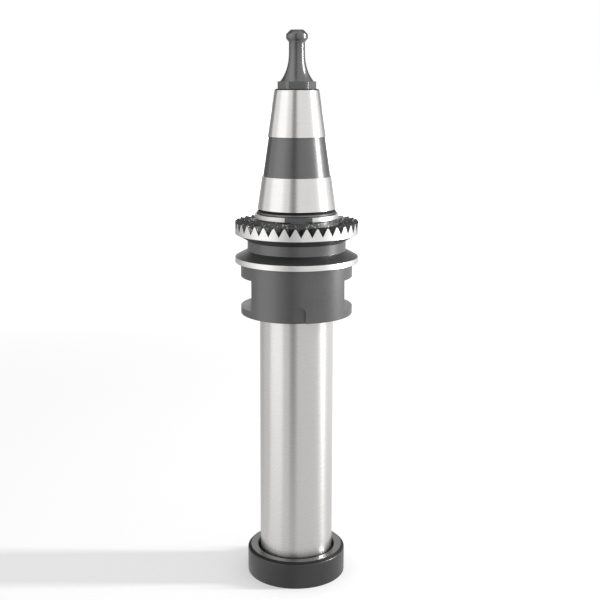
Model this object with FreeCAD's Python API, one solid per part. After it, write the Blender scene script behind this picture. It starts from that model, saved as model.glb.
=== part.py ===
"""Cutter arbor with an ISO 30 taper, a toothed crown, a gripper groove and an end clamp, standing on its cap."""
import FreeCAD, Part
import math
import os

# All sizes are in millimetres. Z runs up the arbor's axis from the middle of the cap's lower face.
# The slot of the hub and the milled flat of the collar look along -Y, the wrench flats along X.

# End cap
cap_dia = 40.5
cap_height = 11.0
cap_top_chamfer = 1.0
cap_recess_depth = 4.0
cap_recess_gap = 0.6
cap_recess_chamfer = 0.6

# Cutter shaft
shaft_dia = 30.0
shaft_reach = 100.0
shaft_end_chamfer = 0.5
root_relief_width = 1.5
root_relief_depth = 0.4
face_relief_width = 1.0
face_relief_depth = 0.3

# Hub with its wrench flats and drive slots
hub_dia = 45.4
hub_height = 21.2
hub_chamfer = 0.2
flats_across = 37.0
flats_height = 12.3
flats_above_face = 3.1
slot_width = 5.0
slot_height = 6.7
slot_depth = 2.5

# Flange and gripper groove
flange_dia = 50.0
flange_land = 2.2
groove_floor_dia = 40.0
groove_floor_width = 4.0
groove_flank_height = 2.7

# Toothed crown
tooth_count = 36
tooth_angle = 58.0
tooth_depth = 3.85
crown_rim = 1.45
crown_turn = -3.7
crown_pass_gap = 0.55

# Neck and collar between the crown and the taper
spigot_height = 3.9
neck_dia = 32.7
collar_dia = 33.9
collar_width = 1.75
collar_below_gauge = 2.05
collar_flat_width = 10.9
collar_flat_below = 0.45
shoulder_dia = 33.0
relief_dia = 30.8
relief_width = 0.95
gauge_skirt = 0.1

# Taper of 7 in 24
gauge_above_flange = 10.2
gauge_dia = 31.75
taper_rate = 7.0 / 24.0
taper_length = 47.8
taper_end_chamfer = 0.3
band_start = 13.1
band_end = 28.85
band_depth = 0.4

# Pull stud
stud_thread_dia = 12.0
stud_thread_length = 18.0
stud_pilot_dia = 13.0
stud_pilot_length = 5.5
stud_pilot_gap = 0.02
stud_hex_across = 14.0
stud_hex_corner_dia = 15.4
stud_hex_height = 3.0
stud_hex_turn = 28.4
stud_flare_dia = 13.5
stud_flare_corner = 4.4
stud_neck_dia = 6.4
stud_neck_start = 14.3
stud_neck_end = 18.5
stud_head_start = 19.7
stud_head_dia = 8.65
stud_head_end = 21.5
stud_top = 23.25
stud_top_dia = 5.2
stud_hole_spare = 2.0

# Countersunk clamp screw
screw_dia = 10.0
screw_length = 30.0
screw_head_dia = 20.0
screw_head_rim = 0.9
screw_head_inset = 0.3
screw_hex_across = 6.0
screw_hex_depth = 4.0
screw_cap_gap = 0.25
screw_hole_spare = 3.0

# Drive pins between the shaft's end and the cap
pin_count = 2
pin_dia = 4.0
pin_circle_dia = 24.4
pin_in_shaft = 9.0
pin_in_cap = 4.5
pin_end_gap = 0.6
pin_cap_gap = 0.1

# Running gaps of the threads and the seat of the screw head
thread_gap = 0.1
head_seat_gap = 0.1

# Heights worked out from the sizes above
cap_top_z = cap_height
shaft_end_z = cap_top_z - cap_recess_depth
hub_face_z = cap_top_z + shaft_reach
flange_face_z = hub_face_z + hub_height
groove_start_z = flange_face_z + flange_land
groove_end_z = groove_start_z + 2.0 * groove_flank_height + groove_floor_width
gauge_z = groove_end_z + gauge_above_flange
small_end_z = gauge_z + taper_length
collar_top_z = gauge_z - collar_below_gauge
collar_foot_z = collar_top_z - collar_width
crown_bore_dia = collar_dia + 2.0 * crown_pass_gap
screw_tip_z = screw_head_inset + screw_length

up = FreeCAD.Vector(0.0, 0.0, 1.0)
centre = FreeCAD.Vector(0.0, 0.0, 0.0)


def taper_radius(above_gauge):
    """Radius of the taper at a height above its gauge plane."""
    return (gauge_dia - above_gauge * taper_rate) / 2.0


def edge(start, end):
    """A straight edge in the XZ plane between two (radius, height) points."""
    return Part.LineSegment(FreeCAD.Vector(start[0], 0.0, start[1]), FreeCAD.Vector(end[0], 0.0, end[1])).toShape()


def edges_through(points):
    """Straight edges in the XZ plane, from point to point."""
    return [edge(points[i], points[i + 1]) for i in range(len(points) - 1)]


def spin(edges):
    """Solid of revolution about Z of a closed outline in the XZ plane."""
    face = Part.Face(Part.Wire(edges))
    return face.revolve(centre, up, 360.0)


def turned(points):
    """Solid turned about Z from (radius, height) points, closed back to the first."""
    return spin(edges_through(points + [points[0]]))


def hexagon(across, foot_z, height):
    """Upright hexagonal prism on the Z axis, with two of its flats facing +X and -X."""
    corner = across / math.sqrt(3.0)
    angles = [math.radians(60.0 * i + 30.0) for i in range(7)]
    ring = [FreeCAD.Vector(corner * math.cos(a), corner * math.sin(a), foot_z) for a in angles]
    return Part.Face(Part.makePolygon(ring)).extrude(up * height)


def pin_places():
    """Positions of the drive pins round the axis, as (x, y)."""
    steps = [2.0 * math.pi * i / pin_count for i in range(pin_count)]
    return [(pin_circle_dia / 2.0 * math.cos(a), pin_circle_dia / 2.0 * math.sin(a)) for a in steps]


def round_bars(dia, foot_z, height):
    """Upright round bars at the places of the drive pins, for the pins and for the holes that take them."""
    return [Part.makeCylinder(dia / 2.0, height, FreeCAD.Vector(x, y, foot_z), up) for x, y in pin_places()]


def taper_outline():
    """Outline of the collar, the relief groove and the taper with its recessed band, from neck to small end."""
    lower = taper_radius(band_start)
    upper = taper_radius(band_end)
    end = taper_radius(taper_length)
    relief_foot_z = gauge_z - gauge_skirt - relief_width
    return [
        (neck_dia / 2.0, collar_foot_z - collar_flat_below),
        (neck_dia / 2.0, collar_foot_z),
        (collar_dia / 2.0, collar_foot_z),
        (collar_dia / 2.0, collar_top_z),
        (shoulder_dia / 2.0, collar_top_z),
        (taper_radius(-gauge_skirt), relief_foot_z),
        (relief_dia / 2.0, relief_foot_z),
        (relief_dia / 2.0, gauge_z - gauge_skirt),
        (taper_radius(-gauge_skirt), gauge_z - gauge_skirt),
        (lower, gauge_z + band_start),
        (lower - band_depth, gauge_z + band_start),
        (upper - band_depth, gauge_z + band_end),
        (upper, gauge_z + band_end),
        (taper_radius(taper_length - taper_end_chamfer), small_end_z - taper_end_chamfer),
        (end - taper_end_chamfer, small_end_z),
        (0.0, small_end_z),
    ]


def arbor_blank():
    """The arbor as it comes off the lathe: shaft, hub, grooved flange, crown seat, collar and taper."""
    shaft = shaft_dia / 2.0
    relief = shaft - root_relief_depth
    hub = hub_dia / 2.0
    flange = flange_dia / 2.0
    floor = groove_floor_dia / 2.0
    spigot = crown_bore_dia / 2.0
    lower_part = [
        (0.0, shaft_end_z),
        (shaft - shaft_end_chamfer, shaft_end_z),
        (shaft, shaft_end_z + shaft_end_chamfer),
        (shaft, hub_face_z - root_relief_width),
        (relief, hub_face_z - root_relief_width),
        (relief, hub_face_z + face_relief_depth),
        (shaft + face_relief_width, hub_face_z + face_relief_depth),
        (shaft + face_relief_width, hub_face_z),
        (hub - hub_chamfer, hub_face_z),
        (hub, hub_face_z + hub_chamfer),
        (hub, flange_face_z),
        (flange, flange_face_z),
        (flange, groove_start_z),
        (floor, groove_start_z + groove_flank_height),
        (floor, groove_end_z - groove_flank_height),
        (flange, groove_end_z),
        (spigot, groove_end_z),
        (spigot, groove_end_z + spigot_height),
    ]
    return turned(lower_part + taper_outline())


def wrench_flats():
    """Cutters for the two flats of the hub, one on each side of the axis."""
    foot_z = hub_face_z + flats_above_face
    reach = hub_dia / 2.0
    slab = Part.makeBox(reach, 2.0 * reach, flats_height, FreeCAD.Vector(flats_across / 2.0, -reach, foot_z))
    return [slab, slab.rotated(centre, up, 180.0)]


def drive_slots():
    """Cutters for the two round-ended slots in the hub's lower rim, front and back."""
    floor_y = -(hub_dia / 2.0 - slot_depth)
    reach = 2.0 * slot_depth
    arch_z = hub_face_z + slot_height - slot_width / 2.0
    corner = FreeCAD.Vector(-slot_width / 2.0, floor_y - reach, hub_face_z)
    straight = Part.makeBox(slot_width, reach, arch_z - hub_face_z, corner)
    arch = Part.makeCylinder(slot_width / 2.0, reach, FreeCAD.Vector(0.0, floor_y, arch_z), FreeCAD.Vector(0, -1, 0))
    slot = straight.fuse(arch)
    return [slot, slot.rotated(centre, up, 180.0)]


def collar_flats():
    """Cutters for the two milled flats of the collar, front and back."""
    radius = collar_dia / 2.0
    floor = math.sqrt(radius ** 2 - (collar_flat_width / 2.0) ** 2)
    corner = FreeCAD.Vector(-collar_flat_width / 2.0, -2.0 * radius, collar_foot_z - collar_flat_below)
    slab = Part.makeBox(collar_flat_width, 2.0 * radius - floor, collar_width + collar_flat_below, corner)
    return [slab, slab.rotated(centre, up, 180.0)]


def stud_socket():
    """Cutter for the pilot bore and the tapped hole of the pull stud, down from the taper's small end."""
    pilot = stud_pilot_dia / 2.0
    thread = stud_thread_dia / 2.0 + thread_gap
    pilot_z = small_end_z - stud_pilot_length
    floor_z = pilot_z - stud_thread_length - stud_hole_spare
    return turned([
        (0.0, floor_z),
        (thread, floor_z),
        (thread, pilot_z),
        (pilot, pilot_z),
        (pilot, small_end_z),
        (0.0, small_end_z),
    ])


def arbor_body():
    """The one-piece arbor: the turned blank with its milled and drilled features."""
    screw_depth = screw_tip_z + screw_hole_spare - shaft_end_z
    screw_hole = Part.makeCylinder(screw_dia / 2.0, screw_depth, up * shaft_end_z, up)
    cutters = wrench_flats() + drive_slots() + collar_flats()
    cutters += [stud_socket(), screw_hole]
    cutters += round_bars(pin_dia, shaft_end_z, pin_in_shaft + pin_end_gap)
    return arbor_blank().cut(cutters)


def tooth_gullet():
    """Cutter for one V gullet, running out from the axis along -Y."""
    foot_z = groove_end_z + crown_rim
    height = 2.0 * tooth_depth
    half = height * math.tan(math.radians(tooth_angle / 2.0))
    bottom = FreeCAD.Vector(0.0, 0.0, foot_z)
    right = FreeCAD.Vector(half, 0.0, foot_z + height)
    left = FreeCAD.Vector(-half, 0.0, foot_z + height)
    profile = Part.Face(Part.makePolygon([bottom, right, left, bottom]))
    return profile.extrude(FreeCAD.Vector(0.0, -flange_dia, 0.0))


def toothed_crown():
    """Ring seated on the flange, with V teeth milled radially across its upper face."""
    bore = crown_bore_dia / 2.0
    outer = flange_dia / 2.0
    top_z = groove_end_z + crown_rim + tooth_depth
    blank = turned([(bore, groove_end_z), (outer, groove_end_z), (outer, top_z), (bore, top_z)])
    pitch = 360.0 / tooth_count
    gullet = tooth_gullet()
    turns = [crown_turn + pitch * (i + 0.5) for i in range(tooth_count)]
    return blank.cut([gullet.rotated(centre, up, turn) for turn in turns])


def pull_stud():
    """Pull stud: threaded shank, pilot, hexagon, concave flare, neck and chamfered head."""
    seat_z = small_end_z
    thread = stud_thread_dia / 2.0
    pilot = stud_pilot_dia / 2.0 - stud_pilot_gap
    tip_z = seat_z - stud_pilot_length - stud_thread_length
    shank = turned([
        (0.0, tip_z),
        (thread, tip_z),
        (thread, seat_z - stud_pilot_length),
        (pilot, seat_z - stud_pilot_length),
        (pilot, seat_z),
        (0.0, seat_z),
    ])
    corners = Part.makeCylinder(stud_hex_corner_dia / 2.0, stud_hex_height, up * seat_z, up)
    nut = hexagon(stud_hex_across, seat_z, stud_hex_height).common(corners)
    nut = nut.rotated(centre, up, stud_hex_turn)
    return shank.fuse([nut, stud_knob(seat_z + stud_hex_height)]).removeSplitter()


def stud_knob(foot_z):
    """The part of the pull stud that the drawbar grips, above its hexagon."""
    seat_z = small_end_z
    flare = stud_flare_dia / 2.0
    neck = stud_neck_dia / 2.0
    neck_z = seat_z + stud_neck_start
    # The flare's curve leaves the hexagon towards its corner point and runs upright into the neck.
    curve = Part.BezierCurve()
    curve.setPoles([
        FreeCAD.Vector(flare, 0.0, foot_z),
        FreeCAD.Vector(neck, 0.0, foot_z + stud_flare_corner),
        FreeCAD.Vector(neck, 0.0, neck_z),
    ])
    head = edges_through([
        (neck, neck_z),
        (neck, seat_z + stud_neck_end),
        (stud_head_dia / 2.0, seat_z + stud_head_start),
        (stud_head_dia / 2.0, seat_z + stud_head_end),
        (stud_top_dia / 2.0, seat_z + stud_top),
        (0.0, seat_z + stud_top),
        (0.0, foot_z),
        (flare, foot_z),
    ])
    return spin([curve.toShape()] + head)


def clamp_cap():
    """End cap that clamps the cutters: recess over the shaft's end, countersink below, pin holes in its floor."""
    outer = cap_dia / 2.0
    recess = shaft_dia / 2.0 + cap_recess_gap
    hole = screw_dia / 2.0 + screw_cap_gap
    head = screw_head_dia / 2.0 + screw_cap_gap
    countersink_foot_z = screw_head_inset + screw_head_rim
    countersink_top_z = countersink_foot_z + head - hole + head_seat_gap
    body = turned([
        (head, 0.0),
        (outer, 0.0),
        (outer, cap_top_z - cap_top_chamfer),
        (outer - cap_top_chamfer, cap_top_z),
        (recess + cap_recess_chamfer, cap_top_z),
        (recess, cap_top_z - cap_recess_chamfer),
        (recess, shaft_end_z),
        (hole, shaft_end_z),
        (hole, countersink_top_z),
        (head, countersink_foot_z + head_seat_gap),
    ])
    depth = pin_in_cap + pin_end_gap
    return body.cut(round_bars(pin_dia + 2.0 * pin_cap_gap, shaft_end_z - depth, depth))


def clamp_screw():
    """Countersunk socket screw that pulls the cap on to the shaft, its head just inside the cap's lower face."""
    head = screw_head_dia / 2.0
    shank = screw_dia / 2.0 - thread_gap
    foot_z = screw_head_inset
    rim_z = foot_z + screw_head_rim
    body = turned([
        (0.0, foot_z),
        (head, foot_z),
        (head, rim_z),
        (shank, rim_z + head - shank),
        (shank, screw_tip_z),
        (0.0, screw_tip_z),
    ])
    return body.cut(hexagon(screw_hex_across, foot_z, screw_hex_depth))


def drive_pins():
    """Dowel pins pressed into the shaft's end, which stop the cap from turning with the cutters."""
    return Part.makeCompound(round_bars(pin_dia, shaft_end_z - pin_in_cap, pin_in_cap + pin_in_shaft))


nodes = {
    "arbor_body": arbor_body,
    "toothed_crown": toothed_crown,
    "pull_stud": pull_stud,
    "clamp_cap": clamp_cap,
    "clamp_screw": clamp_screw,
    "drive_pins": drive_pins,
}

os.makedirs("parts", exist_ok=True)
for name, make in nodes.items():
    shape = make()
    shape.exportStep("parts/" + name + ".step")
    print(name, "solids", len(shape.Solids), "volume", round(shape.Volume, 1), "valid", shape.isValid())
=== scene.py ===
"""Looks of a cutter arbor with an ISO 30 taper: ground and blackened steel, toothed crown, pull stud and end clamp."""
import math

import bmesh
import bpy
from mathutils import Matrix, Vector


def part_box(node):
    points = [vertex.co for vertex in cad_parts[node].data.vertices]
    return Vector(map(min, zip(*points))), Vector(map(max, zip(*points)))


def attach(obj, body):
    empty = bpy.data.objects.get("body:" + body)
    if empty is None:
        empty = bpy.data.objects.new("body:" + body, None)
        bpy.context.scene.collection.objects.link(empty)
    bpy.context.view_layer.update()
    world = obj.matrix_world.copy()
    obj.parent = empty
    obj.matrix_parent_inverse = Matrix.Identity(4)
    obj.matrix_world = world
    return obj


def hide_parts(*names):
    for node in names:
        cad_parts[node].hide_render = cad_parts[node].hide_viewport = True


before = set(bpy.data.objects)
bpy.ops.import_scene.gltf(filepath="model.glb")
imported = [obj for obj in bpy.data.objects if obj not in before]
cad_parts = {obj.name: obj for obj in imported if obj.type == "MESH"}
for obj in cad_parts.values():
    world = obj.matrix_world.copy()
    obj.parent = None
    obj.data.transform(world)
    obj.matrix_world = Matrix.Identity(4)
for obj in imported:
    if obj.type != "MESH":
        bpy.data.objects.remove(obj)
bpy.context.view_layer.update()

bl_info = {
    "name": "Taper tool holder",
    "version": (1, 0, 0),
    "blender": (4, 5, 0),
    "location": "3D Viewport > Sidebar > Tool holder",
    "description": "Builds the finished pieces of a taper tool holder round its CAD frame",
    "category": "Object",
}

MM = 0.001
TINY = 1e-7

# Steps round a turned piece, a drilled hole, one turn of a thread and the floor
STEPS = 240
HOLE_STEPS = 64
THREAD_STEPS = 48
FLOOR_STEPS = 96

# Steps across a broken edge, and the largest share of a side that it takes
EASE_STEPS = 3
EASE_SHARE = 0.45

# Angle past which an edge between two faces stays sharp
SHARP_ANGLE = math.radians(33.0)

# Distance within which the crown's teeth are welded, and depth of its bright outside
WELD = 0.002 * MM
SKIN_DEPTH = 0.05 * MM

# Depth of a standard 60 degree thread and half the width of its ridge, as shares of its pitch
THREAD_DEPTH = 0.6134
THREAD_HALF = 0.46

# Indices of refraction, which set how much of the studio a black surface mirrors
OXIDE_IOR = 2.25
BAND_IOR = 2.2
CAP_IOR = 1.7
BLASTED_IOR = 1.6

WHITE = (1.0, 1.0, 1.0, 1.0)

# A vector times this keeps only its level part
LEVEL = (1.0, 1.0, 0.0)


def low(node):
    """Height of a CAD node's lowest point."""
    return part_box(node)[0].z


def high(node):
    """Height of a CAD node's highest point."""
    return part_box(node)[1].z


def width(node):
    """Width of a CAD node along X."""
    lowest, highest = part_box(node)
    return highest.x - lowest.x


def length(name, value, description):
    """Property for a length in metres, which the panel shows in the scene's unit."""
    return bpy.props.FloatProperty(name=name, description=description, default=value, precision=5,
                                   unit="LENGTH", subtype="DISTANCE")


def angle(name, degrees, description):
    """Property for an angle, given in degrees."""
    return bpy.props.FloatProperty(name=name, description=description, default=math.radians(degrees),
                                   unit="ROTATION", subtype="ANGLE")


def number(name, value, description):
    """Property for a plain number."""
    return bpy.props.FloatProperty(name=name, description=description, default=value, precision=4)


def whole(name, value, least, description):
    """Property for a whole number with its least value."""
    return bpy.props.IntProperty(name=name, description=description, default=value, min=least)


def colour(name, value, description):
    """Property for a linear colour."""
    return bpy.props.FloatVectorProperty(name=name, description=description, default=value, size=3,
                                         subtype="COLOR", min=0.0, max=1.0)


class HolderArbor(bpy.types.PropertyGroup):
    """Sizes of the one-piece arbor."""
    end_z: length("Shaft end", low("arbor_body"), "Height of the shaft's lower end")
    small_end_z: length("Small end", high("arbor_body"), "Height of the taper's small end")
    shaft_dia: length("Shaft", 30 * MM, "Diameter of the cutter shaft")
    shaft_reach: length("Shaft reach", 100 * MM, "Cap face to hub face")
    shaft_chamfer: length("Shaft chamfer", 0.5 * MM, "Chamfer of the shaft's end")
    relief_width: length("Root relief width", 1.5 * MM, "Height of the black groove at the shaft's root")
    relief_depth: length("Root relief depth", 0.4 * MM, "Depth of the groove at the shaft's root")
    face_relief_width: length("Face relief width", 1.0 * MM, "Width of the undercut in the hub's face")
    face_relief_depth: length("Face relief depth", 0.3 * MM, "Depth of the undercut in the hub's face")
    hub_dia: length("Hub", 45.4 * MM, "Diameter of the hub")
    hub_height: length("Hub height", 21.2 * MM, "Height of the hub below the flange")
    hub_chamfer: length("Hub chamfer", 0.2 * MM, "Chamfer of the hub's lower edge")
    flats_across: length("Across flats", 37 * MM, "Width across the wrench flats")
    flats_height: length("Flats height", 12.3 * MM, "Height of the wrench flats")
    flats_above: length("Flats above face", 3.1 * MM, "Height of the flats above the hub's lower face")
    slot_width: length("Slot width", 5 * MM, "Width of the drive slots")
    slot_height: length("Slot height", 6.7 * MM, "Height of the drive slots")
    slot_depth: length("Slot depth", 2.5 * MM, "Depth of the drive slots")
    flange_dia: length("Flange", width("arbor_body"), "Diameter of the flange")
    flange_land: length("Flange land", 2.2 * MM, "Height of the flange's bright land")
    groove_dia: length("Groove floor", 40 * MM, "Diameter of the groove's floor")
    groove_width: length("Groove floor width", 4 * MM, "Height of the groove's floor")
    groove_flank: length("Groove flank", 2.7 * MM, "Height of each sloped flank of the groove")
    spigot_dia: length("Spigot", 35 * MM, "Diameter of the seat of the toothed crown")
    spigot_height: length("Spigot height", 3.9 * MM, "Height of the seat of the toothed crown")
    neck_dia: length("Neck", 32.7 * MM, "Diameter of the neck under the collar")
    collar_dia: length("Collar", 33.9 * MM, "Diameter of the bright collar")
    collar_width: length("Collar width", 1.75 * MM, "Height of the bright collar")
    collar_below: length("Collar below gauge", 2.05 * MM, "Collar's top below the gauge plane")
    collar_flat: length("Collar flat", 10.9 * MM, "Width of the milled flats of the collar")
    collar_flat_below: length("Flat below collar", 0.45 * MM, "Milled flat's reach below the collar")
    shoulder_dia: length("Shoulder", 33 * MM, "Diameter at the foot of the bevel above the collar")
    seam_width: length("Seam", 0.35 * MM, "Height of the dark seam between the collar and the bevel")
    seam_depth: length("Seam depth", 0.3 * MM, "Depth of the dark seam")
    gauge_dia: length("Gauge", 31.75 * MM, "Gauge diameter of the taper")
    gauge_above: length("Gauge above flange", 10.2 * MM, "Gauge plane above the flange")
    gauge_relief_dia: length("Gauge relief", 30.8 * MM, "Diameter of the thin groove under the gauge plane")
    gauge_relief_width: length("Gauge relief width", 0.95 * MM, "Height of the groove under the gauge plane")
    gauge_skirt: length("Gauge skirt", 0.1 * MM, "Taper's reach below the gauge plane")
    taper_rate: number("Taper rate", 7 / 24, "Loss of diameter over height")
    taper_chamfer: length("Taper chamfer", 0.45 * MM, "Black chamfer of the small end")
    band_start: length("Band start", 13.1 * MM, "Foot of the recessed band above the gauge plane")
    band_end: length("Band end", 28.85 * MM, "Top of the recessed band above the gauge plane")
    band_depth: length("Band depth", 0.4 * MM, "Depth of the recessed band")
    pilot_dia: length("Pilot bore", 13 * MM, "Diameter of the pull stud's pilot bore")
    pilot_length: length("Pilot depth", 5.5 * MM, "Depth of the pull stud's pilot bore")
    stud_hole_dia: length("Stud hole", 12.2 * MM, "Diameter of the pull stud's tapped hole")
    stud_hole_depth: length("Stud hole depth", 25.5 * MM, "Depth of the pull stud's tapped hole")
    screw_hole_dia: length("Screw hole", 10 * MM, "Diameter of the clamp screw's tapped hole")
    screw_hole_depth: length("Screw hole depth", 26.3 * MM, "Depth of the clamp screw's tapped hole")
    pin_hole_depth: length("Pin hole depth", 9.6 * MM, "Depth of the drive pins' holes in the shaft")
    ease: length("Edge ease", 0.12 * MM, "Size of the broken edges")


class HolderCrown(bpy.types.PropertyGroup):
    """Sizes of the toothed crown."""
    seat_z: length("Seat", low("toothed_crown"), "Height of the crown's seat on the flange")
    tip_z: length("Tips", high("toothed_crown"), "Height of the teeth's tips")
    outer_dia: length("Crown", width("toothed_crown"), "Outer diameter of the crown")
    bore_dia: length("Bore", 35 * MM, "Bore of the crown")
    rim: length("Rim", 1.45 * MM, "Height of the rim below the gullets")
    chamfer: length("Chamfer", 0.4 * MM, "Black chamfer of the tips' outer edge")
    count: whole("Teeth", 36, 3, "Number of teeth")
    gullet_angle: angle("Gullet angle", 58, "Angle between the flanks of a gullet")
    turn: angle("Turn", -3.7, "Turn of the first tooth from the front")
    columns: whole("Columns", 12, 2, "Facets of one tooth round the axis")
    rows: whole("Rows", 4, 1, "Facets of one tooth along the radius")


class HolderStud(bpy.types.PropertyGroup):
    """Sizes of the pull stud."""
    tip_z: length("Shank tip", low("pull_stud"), "Height of the shank's lower end")
    top_z: length("Top", high("pull_stud"), "Height of the stud's top")
    thread_dia: length("Thread", 12 * MM, "Diameter of the shank's thread")
    thread_length: length("Thread length", 18 * MM, "Length of the shank's thread")
    thread_pitch: length("Thread pitch", 1.75 * MM, "Pitch of the shank's thread")
    pilot_dia: length("Pilot", 12.96 * MM, "Diameter of the pilot")
    hex_across: length("Hexagon", 14 * MM, "Width across the hexagon's flats")
    hex_corner_dia: length("Hexagon corners", 15.4 * MM, "Diameter of the turned corners")
    hex_height: length("Hexagon height", 3 * MM, "Height of the hexagon")
    hex_turn: angle("Hexagon turn", 28.4, "Turn of a flat's middle from the X axis")
    flare_dia: length("Flare", 13.5 * MM, "Diameter at the foot of the flare")
    flare_corner: length("Flare corner", 4.4 * MM, "Height above the hexagon that shapes the flare's curve")
    neck_dia: length("Neck", 6.4 * MM, "Diameter of the neck")
    neck_start: length("Neck start", 14.3 * MM, "Neck's foot above the taper's end")
    neck_end: length("Neck end", 18.5 * MM, "Neck's top above the taper's end")
    head_start: length("Head start", 19.7 * MM, "Head's foot above the taper's end")
    head_dia: length("Head", 8.65 * MM, "Diameter of the head")
    head_end: length("Head end", 21.5 * MM, "Foot of the head's chamfer above the taper's end")
    top_dia: length("Top face", 5.2 * MM, "Diameter of the stud's top face")
    ease: length("Edge ease", 0.18 * MM, "Size of the broken edges")


class HolderClamp(bpy.types.PropertyGroup):
    """Sizes of the end cap, its screw and its drive pins."""
    cap_top_z: length("Cap top", high("clamp_cap"), "Height of the cap's clamping face")
    cap_dia: length("Cap", width("clamp_cap"), "Diameter of the cap")
    cap_chamfer: length("Cap chamfer", 1.0 * MM, "Chamfer of the cap's upper edge")
    recess_dia: length("Recess", 31.2 * MM, "Diameter of the recess round the shaft's end")
    recess_chamfer: length("Recess chamfer", 0.6 * MM, "Chamfer of the recess")
    hole_dia: length("Hole", 10.5 * MM, "Diameter of the screw's hole in the cap")
    countersink_dia: length("Countersink", 20.5 * MM, "Diameter of the countersink")
    countersink_z: length("Countersink foot", 1.3 * MM, "Height of the countersink's straight rim")
    head_z: length("Screw head", low("clamp_screw"), "Height of the screw head's face")
    tip_z: length("Screw tip", high("clamp_screw"), "Height of the screw's tip")
    head_dia: length("Head", width("clamp_screw"), "Diameter of the screw's head")
    head_rim: length("Head rim", 0.9 * MM, "Height of the head's straight rim")
    shank_dia: length("Shank", 9.8 * MM, "Diameter over the screw's thread")
    thread_pitch: length("Pitch", 1.5 * MM, "Pitch of the screw's thread")
    thread_start: length("Thread start", 4.5 * MM, "Height of the thread's start above the head's cone")
    socket_across: length("Socket", 6 * MM, "Width across the hexagon socket")
    socket_depth: length("Socket depth", 4 * MM, "Depth of the hexagon socket")
    tip_chamfer: length("Tip chamfer", 1.0 * MM, "Chamfer of the screw's tip")
    pin_count: whole("Pins", 2, 1, "Number of drive pins")
    pin_dia: length("Pin", 4 * MM, "Diameter of a drive pin")
    pin_foot_z: length("Pin foot", low("drive_pins"), "Height of the pins' lower ends")
    pin_top_z: length("Pin top", high("drive_pins"), "Height of the pins' upper ends")
    pin_circle_dia: length("Pin circle", 24.4 * MM, "Diameter of the circle that the pins stand on")
    pin_hole_dia: length("Pin hole", 4.2 * MM, "Diameter of the pins' holes in the cap")
    pin_hole_depth: length("Pin hole depth", 5.1 * MM, "Depth of the pins' holes in the cap")
    ease: length("Edge ease", 0.25 * MM, "Size of the broken edges")


class HolderFinish(bpy.types.PropertyGroup):
    """Colours and roughness of the finishes."""
    ground: colour("Ground steel", (0.755, 0.745, 0.735), "Bright ground steel")
    ground_shade: colour("Ground steel, dull", (0.64, 0.62, 0.6), "Duller marks in the bare steel")
    turned: colour("Turned steel", (0.93, 0.92, 0.91), "Bright turned rims of the flange, the crown and the collar")
    ground_rough: number("Ground roughness", 0.28, "Roughness of the ground steel")
    black: colour("Black oxide", (0.028, 0.028, 0.029), "Black oxide")
    black_shade: colour("Black oxide, dull", (0.014, 0.014, 0.015), "Duller marks in the black oxide")
    black_rough: number("Black roughness", 0.34, "Roughness of the black oxide")
    stud: colour("Stud", (0.02, 0.02, 0.021), "Darker black oxide of the pull stud, the cap and the band")
    stud_rough: number("Stud roughness", 0.25, "Roughness of the pull stud")
    band_rough: number("Band roughness", 0.3, "Roughness of the taper's recessed band")
    # Recesses: partly the grooves' unground black, partly painted shade that deepens narrow hollows
    recess: colour("Recesses", (0.02, 0.02, 0.02), "Black of narrow grooves and holes")
    recess_shade: colour("Recesses, dull", (0.01, 0.01, 0.01), "Duller marks in the recesses")
    grain: colour("Blasted black", (0.04, 0.04, 0.04), "Grains of the blasted teeth and neck")
    pit: colour("Blasted black, pits", (0.006, 0.006, 0.006), "Pits between the grains")
    speck: colour("Blasted black, specks", (0.5, 0.5, 0.5), "Bright specks among the grains")


class HolderStage(bpy.types.PropertyGroup):
    """Camera, lamp and surroundings."""
    distance: length("Distance", 434.4 * MM, "Level distance from the axis to the camera")
    height: length("Height", 208.4 * MM, "Height of the camera")
    azimuth: angle("Azimuth", -2.7, "Camera's turn round the axis from the front, to the right")
    pitch: angle("Pitch", 8.44, "Camera's tilt below level")
    roll: angle("Roll", 0.1, "Camera's turn about its own axis")
    frame_width: number("Frame width", 36.0, "Width of the camera's frame in millimetres")
    focal: number("Focal length", 64.8, "Focal length in millimetres on that frame")
    shift_x: number("Shift X", 0.00562, "Sideways shift of the frame")
    shift_y: number("Shift Y", -0.11262, "Upward shift of the frame")
    lamp_azimuth: angle("Lamp azimuth", 88, "Lamp's direction from the front, to the right")
    lamp_elevation: angle("Lamp elevation", 22, "Lamp's height above level")
    lamp_distance: length("Lamp distance", 1.2, "Lamp's distance")
    lamp_width: length("Lamp width", 0.075, "Width of the strip lamp")
    lamp_height: length("Lamp height", 0.8, "Height of the strip lamp")
    lamp_power: number("Lamp power", 12.5, "Power of the strip lamp in watts")
    fill: number("Fill", 0.6, "Brightness of the even light from all sides")
    walls: number("Walls", 1.0, "Brightness of the walls that the object mirrors")
    floor_mirrored: number("Floor mirrored", 0.66, "Brightness of the floor that the object mirrors")
    # Foot shade: painted shadow of the object on the floor that the object mirrors
    foot_shade: number("Foot shade", 0.75, "Loss of the mirrored studio's contrast at the object's foot")
    foot_reach: length("Foot reach", 0.35, "Distance from the axis within which that contrast is lost")
    floor_radius: length("Floor radius", 6.0, "Radius of the round floor")
    floor_colour: colour("Floor", (0.8, 0.8, 0.8), "Colour of the floor")
    floor_glow: number("Floor glow", 0.31, "Light added to the floor that the camera sees")
    far_glow: number("Far glow", 0.9, "More light added to the floor far off")
    glow_start: length("Far glow start", 0.25, "Distance from the axis at which the far glow sets in")
    glow_end: length("Far glow end", 1.6, "Distance from the axis at which the far glow is full")


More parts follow.
